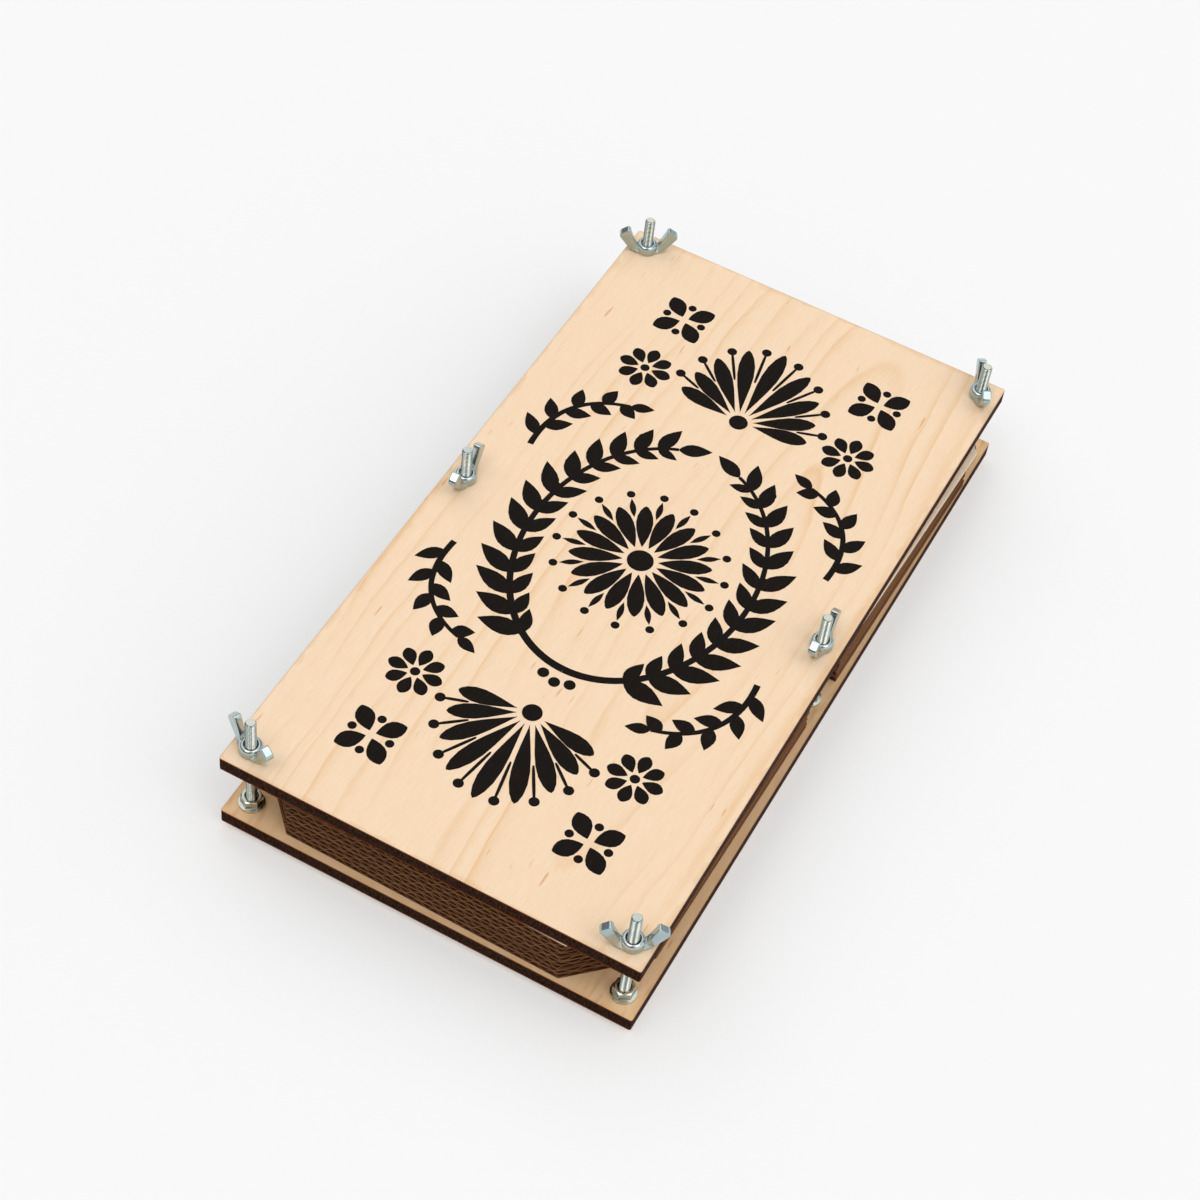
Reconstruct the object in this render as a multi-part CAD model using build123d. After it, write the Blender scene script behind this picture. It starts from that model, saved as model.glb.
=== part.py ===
from build123d import *
import os
from math import cos, radians, sin, sqrt, tan

# A flower press: two plywood boards on six fixed bolts, a stack of fluted cardboards and blotting papers
# between them, and a wing nut on every bolt that clamps the top board down on the stack.
# Millimetres, +Z up, +Y along the boards, origin on the table under the middle of the press.

# Boards
board_width = 160.0
board_length = 304.0
board_thickness = 6.0
board_corner_radius = 0.8
bolt_side_inset = 7.5  # from a bolt's axis to the board's long edge
bolt_end_inset = 8.2  # from a corner bolt's axis to the board's short edge
board_hole_clearance = 0.2  # radial, between a bolt and its hole in a board

# Bolts, fully threaded, drawn at the thread's outer diameter
thread_diameter = 4.0
running_clearance = 0.05  # radial, between a bolt and a nut's bore
bolt_length = 52.5  # below the head
bolt_end_chamfer = 0.45
head_across_flats = 7.0
head_height = 2.8

# Hexagons of heads and nuts are turned off at the corners
hex_turning_angle = 30.0
hex_land_share = 0.95  # flat circle left on the end, as a share of the width across flats

# Flange nuts
flange_diameter = 9.4
flange_rim_height = 0.95
flange_height = 1.25
flange_nut_across_flats = 7.0
flange_nut_height = 4.5
nut_mouth_chamfer = 0.45

# Wing nuts
hub_radius = 4.15
hub_shoulder_height = 2.4
hub_height = 4.0
hub_lip_radius = 2.75
hub_bulge = 0.35  # how far the hub's rounded top stands proud of a straight cone
hub_mouth_depth = 0.7
wing_angle = 56.0  # of the outer edge, above the board
wing_tip_radius = 9.75  # from the axis to the middle of a wing's tip
wing_tip_height = 9.55  # from the board to the middle of a wing's tip
wing_depth = 5.1  # across the wing, along the flat tip
wing_thickness = 2.8
wing_root_radius = 3.9  # where the inner edge meets the hub's shoulder
wing_foot_height = 0.3  # the wings' belly stays this far off the board
wing_belly_radius = 5.5
wing_edge_radius = 0.45
flare_end_radius = 8.5  # each wing widens from here to the hub's full width
flare_side_angle = 28.0  # from upright, by which the flare leans in towards its top

# Where each bolt stands, as signs of X and Y, how far its wing nut's wings are turned from +X, and how far
# the hexagon of its flange nut is turned
stations = {
    "front_left": (-1, -1, 157.0, 30.5),
    "front_right": (1, -1, 27.0, 30.0),
    "mid_left": (-1, 0, 91.0, 12.0),
    "mid_right": (1, 0, 90.5, 41.0),
    "back_left": (-1, 1, 29.5, 5.0),
    "back_right": (1, 1, 118.5, 50.0),
}

# Sheets of the stack
sheet_side_inset = 2.5  # from the board's long edges
cardboard_end_inset = 1.7  # from the board's short edges
paper_end_inset = 3.5  # from the board's short edges
corner_room = 4.2  # from a flange nut's rim to a sheet's cut corner
notch_side_room = 7.4  # from a flange nut's rim to a notch's side walls
notch_floor_room = 3.2  # from a flange nut's rim to a notch's floor
cardboards_below = 8
paper_count = 3
cardboards_above = 1
paper_thickness = 0.4

# Corrugated cardboard: two flat liners with a fluted paper between, flutes along the boards
cardboard_thickness = 2.6
liner_thickness = 0.22
flute_pitch = 6.3
flute_crest_width = 2.0
flute_paper_thickness = 0.2
flute_web_width = 0.3  # measured along X, because the webs slant
edge_wall = 0.8  # least solid width left along a sheet's long edges

# The loose stack lies a little askew between the boards, the papers more so: turn, shift in X and shift in Y
cardboard_lie = (-0.9, 0.0, 0.8)
paper_lie = (-1.55, 1.0, -0.3)
turn_scatter = 0.12
shift_scatter = 0.25
scatter_steps = (2.4, 1.7, 3.1)  # radians from sheet to sheet, for the turn and both shifts

# Levels and places that follow from the sizes above
thread_radius = thread_diameter / 2
bore_radius = thread_radius + running_clearance
flange_radius = flange_diameter / 2
bolt_x = board_width / 2 - bolt_side_inset
bolt_y = board_length / 2 - bolt_end_inset
cardboard_count = cardboards_below + cardboards_above
bottom_board_level = head_height
stack_level = bottom_board_level + board_thickness
stack_height = cardboard_count * cardboard_thickness + paper_count * paper_thickness
top_board_level = stack_level + stack_height
wing_nut_level = top_board_level + board_thickness


def turned(*outline):
    """A solid of revolution about Z from a closed outline of (radius, height) points."""
    return revolve(Plane.XZ * make_face(Polyline(*outline, close=True)), Axis.Z)


def hexagon(across_flats, height):
    """A hexagonal prism on Z = 0 whose upper corners are turned off at the usual angle."""
    corner = across_flats / sqrt(3)
    land = across_flats / 2 * hex_land_share
    drop = (corner - land) * tan(radians(hex_turning_angle))
    prism = extrude(RegularPolygon(across_flats / 2, 6, major_radius=False), height)
    turning = turned((0, 0), (corner, 0), (corner, height - drop), (land, height), (0, height))
    return prism & turning


def mouth(level, depth, opening):
    """The cone that opens a bore's upper end at a level out to a radius."""
    return turned((0, level - depth), (bore_radius, level - depth), (opening, level), (0, level))


def bore(height):
    """The cylinder cut through a nut, past both its ends."""
    return Pos(0, 0, height / 2) * Cylinder(bore_radius, 2 * height)


def make_board():
    """A board on Z = 0 with a clearance hole for every bolt."""
    blank = extrude(RectangleRounded(board_width, board_length, board_corner_radius), board_thickness)
    hole = Pos(0, 0, board_thickness / 2) * Cylinder(thread_radius + board_hole_clearance, 2 * board_thickness)
    return blank - [Pos(sx * bolt_x, sy * bolt_y, 0) * hole for sx, sy, *_ in stations.values()]


def make_bolt():
    """A bolt that stands on its head on Z = 0, with a chamfered upper end."""
    head = Pos(0, 0, head_height) * Rot(180, 0, 0) * hexagon(head_across_flats, head_height)
    end = head_height + bolt_length
    tip = thread_radius - bolt_end_chamfer
    shank = turned((0, 0), (thread_radius, 0), (thread_radius, end - bolt_end_chamfer), (tip, end), (0, end))
    return head + shank


def make_flange_nut():
    """A flange nut on Z = 0: a hexagon that grows out of a round foot with a sloping top."""
    inner = flange_nut_across_flats / 2
    foot = turned(
        (0, 0),
        (flange_radius, 0),
        (flange_radius, flange_rim_height),
        (inner, flange_height),
        (0, flange_height),
    )
    body = foot + hexagon(flange_nut_across_flats, flange_nut_height)
    opening = bore_radius + nut_mouth_chamfer
    return body - bore(flange_nut_height) - mouth(flange_nut_height, nut_mouth_chamfer, opening)


def make_wing():
    """One wing along +X: a slanted bar with a flat tip, whose belly runs round to a flare at the hub."""
    along_x = cos(radians(wing_angle))
    along_z = sin(radians(wing_angle))
    half = wing_depth / 2
    tip_outer = (wing_tip_radius + half * along_z, wing_tip_height - half * along_x)
    tip_inner = (wing_tip_radius - half * along_z, wing_tip_height + half * along_x)
    belly = (tip_outer[0] - (tip_outer[1] - wing_foot_height) * along_x / along_z, wing_foot_height)
    root = (wing_root_radius, hub_shoulder_height)
    corners = [(0, wing_foot_height), belly, tip_outer, tip_inner, root, (0, hub_shoulder_height)]
    outline = make_face(Polyline(*corners, close=True))
    belly_corner = outline.vertices().sort_by_distance(belly)[0]
    side = Plane.XZ * fillet(belly_corner, wing_belly_radius)
    plate = extrude(side, wing_thickness / 2, both=True)
    rims = plate.edges().filter_by(Axis.Y, reverse=True).filter_by(lambda edge: edge.center().X > hub_radius)
    end = (flare_end_radius, wing_thickness / 2)
    plan = make_face(Polyline((0, -hub_radius), (end[0], -end[1]), end, (0, hub_radius), close=True))
    skirt = extrude(plan, hub_shoulder_height, taper=flare_side_angle)
    return fillet(rims, wing_edge_radius) + (skirt & extrude(side, hub_radius, both=True))


def make_wing_nut():
    """A wing nut on Z = 0: a round-topped hub with a countersunk bore, and a wing on either side."""
    side = Polyline((0, hub_height), (0, 0), (hub_radius, 0), (hub_radius, hub_shoulder_height))
    crown = SagittaArc((hub_radius, hub_shoulder_height), (hub_lip_radius, hub_height), hub_bulge)
    top = Line((hub_lip_radius, hub_height), (0, hub_height))
    hub = revolve(Plane.XZ * make_face([side, crown, top]), Axis.Z)
    wing = make_wing()
    body = hub + wing + Rot(0, 0, 180) * wing
    return body - bore(hub_height) - mouth(hub_height, hub_mouth_depth, hub_lip_radius)


def make_sheet_outline(end_inset):
    """The outline of a sheet: corners cut off clear of the bolts, and a notch round each mid bolt."""
    half_width = board_width / 2 - sheet_side_inset
    half_length = board_length / 2 - end_inset
    reach = sqrt(2) * (flange_radius + corner_room)
    corner_cut = half_width + half_length - bolt_x - bolt_y + reach
    notch_half = flange_radius + notch_side_room
    notch_floor = bolt_x - flange_radius - notch_floor_room
    right = [
        (half_width - corner_cut, -half_length),
        (half_width, corner_cut - half_length),
        (half_width, -notch_half),
        (notch_floor, -notch_half),
        (notch_floor, notch_half),
        (half_width, notch_half),
        (half_width, half_length - corner_cut),
        (half_width - corner_cut, half_length),
    ]
    left = [(-x, y) for x, y in reversed(right)]
    return make_face(Polyline(*right, *left, close=True))


def make_flutes(half_width):
    """The section of all flute channels: each is wide at one liner and narrow at the other, by turns."""
    wide = (flute_pitch - flute_crest_width - flute_web_width) / 2
    narrow = (flute_crest_width - flute_web_width) / 2
    low = liner_thickness
    high = cardboard_thickness - liner_thickness
    reach = int((half_width - edge_wall - wide) / (flute_pitch / 2))
    channels = []
    for step in range(-reach, reach + 1):
        middle = step * flute_pitch / 2
        if step % 2:
            floor, roof, at_floor, at_roof = low, high - flute_paper_thickness, wide, narrow
        else:
            floor, roof, at_floor, at_roof = low + flute_paper_thickness, high, narrow, wide
        channels.append(
            make_face(
                Polyline(
                    (middle - at_floor, floor),
                    (middle + at_floor, floor),
                    (middle + at_roof, roof),
                    (middle - at_roof, roof),
                    close=True,
                )
            )
        )
    return channels


def make_cardboard():
    """A corrugated sheet on Z = 0 with its flutes open at the short ends, cut corners and notches."""
    outline = make_sheet_outline(cardboard_end_inset)
    box = outline.bounding_box()
    section = Pos(0, cardboard_thickness / 2) * Rectangle(box.size.X, cardboard_thickness)
    fluted = extrude(Plane.XZ * (section - make_flutes(box.max.X)), box.max.Y, both=True)
    return fluted & extrude(outline, cardboard_thickness)


def make_paper():
    """A blotting paper on Z = 0."""
    return extrude(make_sheet_outline(paper_end_inset), paper_thickness)


def place(index, level, lie):
    """Where sheet number index lies: the turn and shifts of its kind, with a small scatter of its own."""
    turn, shift_x, shift_y = lie
    turn_step, x_step, y_step = scatter_steps
    turn += turn_scatter * sin(turn_step * index)
    shift_x += shift_scatter * cos(x_step * index)
    shift_y += shift_scatter * sin(y_step * index)
    return Pos(shift_x, shift_y, level) * Rot(0, 0, turn)


def make_stack():
    """Every sheet of the stack by name, from the bottom board up."""
    cardboard = make_cardboard()
    turned_over = Pos(0, 0, cardboard_thickness) * Rot(0, 180, 0) * cardboard
    paper = make_paper()
    kinds = ["cardboard"] * cardboards_below + ["paper"] * paper_count + ["cardboard"] * cardboards_above
    sheets = {}
    level = stack_level
    for index, kind in enumerate(kinds):
        if kind == "cardboard":
            number = sum(name.startswith("cardboard") for name in sheets) + 1
            blank = turned_over if number % 2 else cardboard
            sheets[f"cardboard_{number}"] = place(index, level, cardboard_lie) * blank
            level += cardboard_thickness
        else:
            number = sum(name.startswith("blotting") for name in sheets) + 1
            sheets[f"blotting_paper_{number}"] = place(index, level, paper_lie) * paper
            level += paper_thickness
    return sheets


def make_press():
    """Every piece of the press in its place, by name."""
    board = make_board()
    bolt = make_bolt()
    flange_nut = make_flange_nut()
    wing_nut = make_wing_nut()
    pieces = {
        "bottom_board": Pos(0, 0, bottom_board_level) * board,
        "top_board": Pos(0, 0, top_board_level) * board,
    }
    for name, (sx, sy, wing_turn, nut_turn) in stations.items():
        station = Pos(sx * bolt_x, sy * bolt_y, 0)
        pieces[f"bolt_{name}"] = station * bolt
        pieces[f"flange_nut_{name}"] = station * Pos(0, 0, stack_level) * Rot(0, 0, nut_turn) * flange_nut
        pieces[f"wing_nut_{name}"] = station * Pos(0, 0, wing_nut_level) * Rot(0, 0, wing_turn) * wing_nut
    pieces.update(make_stack())
    return pieces


os.makedirs("parts", exist_ok=True)
for name, piece in make_press().items():
    export_step(piece, f"parts/{name}.step")
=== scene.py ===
import logging
import math
from dataclasses import dataclass, field
from enum import Enum
from typing import Any, Callable, NamedTuple

import bpy
import numpy as np
from mathutils import Matrix, Vector


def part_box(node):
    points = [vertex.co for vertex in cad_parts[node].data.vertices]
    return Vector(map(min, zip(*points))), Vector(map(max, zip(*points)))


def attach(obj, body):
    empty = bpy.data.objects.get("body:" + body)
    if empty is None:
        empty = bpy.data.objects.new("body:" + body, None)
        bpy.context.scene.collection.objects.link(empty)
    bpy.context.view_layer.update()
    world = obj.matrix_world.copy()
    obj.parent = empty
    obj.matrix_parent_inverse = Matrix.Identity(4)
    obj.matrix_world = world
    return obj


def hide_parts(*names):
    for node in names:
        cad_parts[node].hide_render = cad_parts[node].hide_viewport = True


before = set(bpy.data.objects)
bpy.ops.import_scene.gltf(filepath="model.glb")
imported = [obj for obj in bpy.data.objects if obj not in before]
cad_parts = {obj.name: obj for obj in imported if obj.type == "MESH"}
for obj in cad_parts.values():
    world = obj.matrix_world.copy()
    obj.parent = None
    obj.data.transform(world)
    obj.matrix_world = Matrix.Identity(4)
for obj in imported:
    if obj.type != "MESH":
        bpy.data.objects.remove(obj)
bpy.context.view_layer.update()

LOG = logging.getLogger("flower_press")
MM = 0.001
FULL_TURN = 2.0 * math.pi
HEXAGON = 6
# Name of the attribute that paints shade into the thread roots of the bolts.
ROOT_SHADE = "painted_root_shade"
BURNT = "burnt"
SMOOTH = {"interpolation_type": "SMOOTHSTEP"}

Material = bpy.types.Material
Piece = bpy.types.Object
Socket = bpy.types.NodeSocket
Tree = bpy.types.NodeTree
Pair = tuple[float, float]
Triple = tuple[float, float, float]
# A map of values: the two ends of what comes in, then the two ends of what that becomes.
Span = tuple[float, float, float, float]


class Station(Enum):
    """Where a bolt stands, seen from the short side that faces the viewer."""

    FRONT_LEFT = "front_left"
    FRONT_RIGHT = "front_right"
    MID_LEFT = "mid_left"
    MID_RIGHT = "mid_right"
    BACK_LEFT = "back_left"
    BACK_RIGHT = "back_right"


class Slot(Enum):
    """Names of material slots, which this script does not use."""

    PLYWOOD = "plywood"
    ZINC = "zinc_steel"
    CARDBOARD = "corrugated_cardboard"
    PAPER = "blotting_paper"
    INK = "black_ink"


def linear(hex_code: str) -> tuple[float, float, float, float]:
    """Turns an sRGB hex colour into linear RGBA.

    Args:
        hex_code: Colour as "#rrggbb".

    Returns:
        Linear red, green and blue, and an alpha of one.
    """
    channel = np.array([int(hex_code[i : i + 2], 16) for i in (1, 3, 5)]) / 255.0
    dark = channel / 12.92
    light = ((channel + 0.055) / 1.055) ** 2.4
    return (*np.where(channel <= 0.04045, dark, light).tolist(), 1.0)


def feed(node: bpy.types.Node, inputs: dict[str | int, Any]) -> None:
    """Sets the inputs of a node.

    Args:
        node: The node.
        inputs: Sockets by name or number, each with a value, a hex colour or the output socket that feeds it.
    """
    for key, value in inputs.items():
        if isinstance(value, Socket):
            node.id_data.links.new(value, node.inputs[key])
        else:
            node.inputs[key].default_value = linear(value) if isinstance(value, str) else value


def add(
    tree: Tree,
    kind: str,
    *first: Any,
    more: dict[str | int, Any] | None = None,
    out: str | int = 0,
    **settings: Any,
) -> Socket:
    """Adds a node with its settings, its constant inputs and its links.

    Args:
        tree: Node tree that gets the node.
        kind: Type name of the node, without the ShaderNode that it starts with.
        *first: What goes into its first inputs, in their order.
        more: What goes into other inputs, by name or number.
        out: Name or number of the output that is wanted.
        **settings: Properties of the node.

    Returns:
        The output socket.
    """
    node = tree.nodes.new(f"ShaderNode{kind}")
    for name, value in settings.items():
        setattr(node, name, value)
    feed(node, dict(enumerate(first)) | (more or {}))
    return node.outputs[out]


def coats(tree: Tree, colour: Any, *layers: tuple[Socket, Any]) -> Socket:
    """Lays colours over one another.

    Args:
        tree: Node tree to add to.
        colour: The lowest colour, as a hex code or a socket.
        *layers: The share of each further layer and its colour.

    Returns:
        The socket with the colour.
    """
    for share, layer in layers:
        colour = add(tree, "Mix", share, more={6: colour, 7: layer}, out=2, data_type="RGBA")
    return colour


def stretched_noise(
    tree: Tree,
    place: Socket,
    scale: Triple,
    detail: float,
    shift: Triple = (0.0, 0.0, 0.0),
    roughness: float = 0.5,
) -> Socket:
    """A noise with its own pace along X, Y and Z, in changes per unit of length, that starts at a shift."""
    moved = add(tree, "Mapping", place, more={"Location": shift, "Scale": scale})
    return add(tree, "TexNoise", moved, more={"Scale": 1.0, "Detail": detail, "Roughness": roughness})


def blank_material(name: str) -> tuple[Material, Tree, bpy.types.Node]:
    """Starts a material.

    Args:
        name: Name of the material.

    Returns:
        The material, its node tree and its Principled shader.
    """
    material = bpy.data.materials.new(name)
    material.use_nodes = True
    tree = material.node_tree
    return material, tree, tree.nodes["Principled BSDF"]


@dataclass(frozen=True)
class MapleVeneer:
    """Sliced maple veneer on laser-cut plywood.

    The veneer gives the eye a pale cream face with faint growth lines, short fibres and a few orange flecks
    along the board. The laser leaves cut walls burnt to a dark, mottled brown, amber where the veneers end.
    """

    name: str
    half: Triple
    middle_height: float
    bolt: Pair
    hole_radius: float
    shift: float
    smoke: float
    pale: str = "#f7ddbf"
    growth_line: str = "#e9bd8b"
    fleck: str = "#d89a5e"
    amber: str = "#8a4616"
    haze: str = "#d9a873"
    soot: str = "#a06a3c"
    char_dark: str = "#160b07"
    char_light: str = "#4a2e20"
    heart: Pair = (38.0, 5.0)
    trunk_slope: float = 0.14
    ring_spacing: float = 8.0
    ring_sharpness: float = 5.0
    ring_tone: float = 0.95
    ring_end: float = 0.1
    ring_strength: Span = (0.4, 0.66, 0.05, 1.0)
    crowding: float = 2.6
    crowding_size: float = 26.0
    wobble_width: float = 30.0
    wobble_length: float = 120.0
    wobble_reach: float = 16.0
    fibre_width: float = 0.4
    fibre_length: float = 5.0
    fibre_tone: Span = (0.35, 0.7, 0.0, 0.25)
    fibre_gloss: Span = (0.3, 0.7, 0.52, 0.66)
    flecks_per_mm: Triple = (0.55, 0.075, 0.55)
    fleck_tone: Span = (0.74, 0.82, 0.0, 0.6)
    clouds_per_mm: float = 0.11
    haze_reach: Span = (0.4, 0.75, 0.6, 4.5)
    haze_tone: float = 0.35
    smoke_per_mm: Triple = (0.55, 0.12, 0.2)
    smoke_tone: Span = (0.5, 0.75, 0.0, 1.0)
    smoke_reach: Pair = (5.0, 19.0)
    rim_reach: Pair = (0.1, 0.22)
    rim_tone: float = 0.35
    veneer: float = 0.9
    veneer_tone: float = 0.7
    streak_width: float = 0.7
    streak_stretch: float = 0.4
    streak_tone: Span = (0.35, 0.75, 0.0, 1.0)
    wall_slope: float = 0.5
    relief_strength: float = 0.25
    relief_depth: float = 0.12
    specular: float = 0.015

    def late_wood(self, tree: Tree, mm: Socket) -> Socket:
        """How dark the growth rings make the wood.

        Rings stand round a trunk that slopes through the board: their number is the length of (X, slope times
        Y) from the heart over the ring spacing, with X shaken by a stretched noise and the years crowded by
        another. Each year darkens with a power of its share of the ring and fades in its last part.

        Args:
            tree: The material's node tree.
            mm: The socket with the place, in millimetres.

        Returns:
            The socket with the darkness.
        """
        pace = (1 / self.wobble_width, 1 / self.wobble_length, 1 / self.wobble_width)
        figure = stretched_noise(tree, mm, pace, 2.5, (self.shift,) * 3)
        shake = (self.wobble_reach, 0.0, 0.0)
        shaken = add(tree, "VectorMath", figure.node.outputs["Color"], shake, mm, operation="MULTIPLY_ADD")
        heart = (-self.heart[0] - self.wobble_reach / 2, -self.trunk_slope * self.heart[1], 0.0)
        slope = (1.0, self.trunk_slope, 0.0)
        from_heart = add(tree, "Mapping", shaken, more={"Location": heart, "Scale": slope})
        reach = add(tree, "VectorMath", from_heart, operation="LENGTH", out="Value")
        seasons = {"W": reach, "Scale": 1 / self.crowding_size, "Detail": 2.0}
        climate = add(tree, "TexNoise", more=seasons, noise_dimensions="1D")
        crowded = add(tree, "Math", climate, self.crowding, operation="MULTIPLY")
        rings = add(tree, "Math", reach, 1 / self.ring_spacing, crowded, operation="MULTIPLY_ADD")
        year = add(tree, "Math", rings, operation="FRACT")
        winter = add(tree, "MapRange", year, 1.0 - self.ring_end, 1.0, 1.0, 0.0, **SMOOTH)
        strength = add(tree, "MapRange", figure, *self.ring_strength)
        dark = add(tree, "Math", year, self.ring_sharpness, operation="POWER")
        for factor in (winter, strength, self.ring_tone):
            dark = add(tree, "Math", dark, factor, operation="MULTIPLY")
        return dark

    def cuts(self, tree: Tree, mm: Socket) -> tuple[Socket, Socket]:
        """Distances from the board's outline and from the nearest bolt's axis.

        That from the outline is the smaller of what is left to the long and the short edge.

        Args:
            tree: The material's node tree.
            mm: The socket with the place, in millimetres.

        Returns:
            The sockets with the two distances.
        """
        x = add(tree, "SeparateXYZ", add(tree, "VectorMath", mm, operation="ABSOLUTE"))
        y = x.node.outputs["Y"]
        to_side = add(tree, "Math", self.half[0], x, operation="SUBTRACT")
        to_end = add(tree, "Math", self.half[1], y, operation="SUBTRACT")
        to_edge = add(tree, "Math", to_side, to_end, operation="MINIMUM")
        hole_x = add(tree, "Math", x, self.bolt[0], operation="SUBTRACT")
        corner_y = add(tree, "Math", y, self.bolt[1], operation="SUBTRACT")
        corner_gap = add(tree, "Math", corner_y, operation="ABSOLUTE")
        hole_y = add(tree, "Math", corner_gap, y, operation="MINIMUM")
        spoke = add(tree, "CombineXYZ", hole_x, hole_y)
        return to_edge, add(tree, "VectorMath", spoke, operation="LENGTH", out="Value")

    def material(self) -> Material:
        """Builds the material, in Object coordinates taken to millimetres.

        Growth rings, fibres, flecks, a haze along the outline, smoke round the bolts and an amber rim at the
        cuts lie over the pale wood. Where the surface is steep it shows the burnt wall in place of the face.

        Returns:
            The material.
        """
        material, tree, shader = blank_material(self.name)
        place = add(tree, "TexCoord", out="Object")
        mm = add(tree, "VectorMath", place, more={"Scale": 1.0 / MM}, operation="SCALE")

        pace = (1 / self.fibre_width, 1 / self.fibre_length, 1 / self.fibre_width)
        fibre = stretched_noise(tree, mm, pace, 3.0, (self.shift, 0.0, 0.0), 0.6)
        fibre_tone = add(tree, "MapRange", fibre, *self.fibre_tone)
        grain = add(tree, "Math", self.late_wood(tree, mm), fibre_tone, operation="ADD", use_clamp=True)
        dashes = stretched_noise(tree, mm, self.flecks_per_mm, 1.0, (0.0, self.shift, 0.0))
        fleck = add(tree, "MapRange", dashes, *self.fleck_tone, **SMOOTH)

        to_edge, from_axis = self.cuts(tree, mm)
        cloud = add(tree, "TexNoise", mm, more={"Scale": self.clouds_per_mm, "Detail": 2.0})
        haze_reach = add(tree, "MapRange", cloud, *self.haze_reach)
        haze = add(tree, "MapRange", to_edge, 0.0, haze_reach, self.haze_tone, 0.0, **SMOOTH)
        near_bolt = add(tree, "MapRange", from_axis, *self.smoke_reach, self.smoke, 0.0, **SMOOTH)
        drift = add(tree, "MapRange", stretched_noise(tree, mm, self.smoke_per_mm, 4.0), *self.smoke_tone)
        smoke = add(tree, "Math", near_bolt, drift, operation="MULTIPLY")
        to_hole = add(tree, "Math", from_axis, self.hole_radius, operation="SUBTRACT")
        to_cut = add(tree, "Math", to_edge, to_hole, operation="MINIMUM")
        rim = add(tree, "MapRange", to_cut, *self.rim_reach, self.rim_tone, 0.0, **SMOOTH)
        finer = [(grain, self.growth_line), (fleck, self.fleck), (haze, self.haze), (smoke, self.soot)]
        face = coats(tree, self.pale, *finer, (rim, self.amber))

        pace = (1 / self.streak_width, 1 / self.streak_width, self.streak_stretch / self.streak_width)
        burn = stretched_noise(tree, mm, pace, 3.0)
        streaks = add(tree, "MapRange", burn, *self.streak_tone)
        height = add(tree, "SeparateXYZ", mm, out="Z")
        from_mid_ply = add(tree, "Math", height, self.middle_height, operation="SUBTRACT")
        ply = add(tree, "Math", from_mid_ply, operation="ABSOLUTE")
        face_ply = self.half[2]
        outer = (face_ply - self.veneer, face_ply, 0.0, self.veneer_tone)
        outer_ply = add(tree, "MapRange", ply, *outer, **SMOOTH)
        wall = coats(tree, self.char_dark, (streaks, self.char_light), (outer_ply, self.amber))

        up = add(tree, "SeparateXYZ", add(tree, "NewGeometry", out="True Normal"), out="Z")
        level = add(tree, "Math", up, operation="ABSOLUTE")
        is_cut = add(tree, "Math", level, self.wall_slope, operation="LESS_THAN")
        relief = {
            "Height": add(tree, "Mix", is_cut, more={2: fibre, 3: burn}),
            "Strength": self.relief_strength,
            "Distance": self.relief_depth * MM,
        }
        surface = {
            "Base Color": coats(tree, face, (is_cut, wall)),
            "Roughness": add(tree, "MapRange", fibre, *self.fibre_gloss),
            "Normal": add(tree, "Bump", more=relief),
            "Specular IOR Level": self.specular,
        }
        feed(shader, surface)
        return material


@dataclass(frozen=True)
class BrightZinc:
    """Zinc-plated steel with a clear passivation.

    Barrel plating gives the eye a satin mirror, cool grey with faint blue and straw patches a few millimetres
    across, and tiny dents from tumbling.
    """

    name: str = "bright_zinc_plated_steel"
    cool: str = "#a6bbbf"
    straw: str = "#bfc3c0"
    # painted shade: the dark grey laid into the thread roots
    painted_root_shade: str = "#555b57"
    patch_size: float = 5.0
    patch_tone: Span = (0.38, 0.68, 0.0, 1.0)
    dent_size: float = 1.1
    dent_gloss: Span = (0.3, 0.7, 0.1, 0.18)
    dent_strength: float = 0.06
    dent_depth: float = 0.05

    def material(self) -> Material:
        """Builds the material: two noises in Object coordinates, one for the patches and one for the dents.

        A mesh's own attribute for the thread roots darkens it with painted shade.

        Returns:
            The material.
        """
        material, tree, shader = blank_material(self.name)
        place = add(tree, "TexCoord", out="Object")
        patches, dents = (
            add(tree, "TexNoise", place, more={"Scale": 1 / (size * MM), "Detail": 2.0})
            for size in (self.patch_size, self.dent_size)
        )
        tint = add(tree, "MapRange", patches, *self.patch_tone)
        # painted shade in the thread roots, read from the mesh's attribute
        root_shade_mask = add(tree, "Attribute", attribute_name=ROOT_SHADE, out="Fac")
        relief = {"Height": dents, "Strength": self.dent_strength, "Distance": self.dent_depth * MM}
        surface = {
            "Base Color": coats(tree, self.cool, (tint, self.straw), (root_shade_mask, self.painted_root_shade)),
            "Metallic": 1.0,
            "Roughness": add(tree, "MapRange", dents, *self.dent_gloss),
            "Normal": add(tree, "Bump", more=relief),
        }
        feed(shader, surface)
        return material


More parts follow.
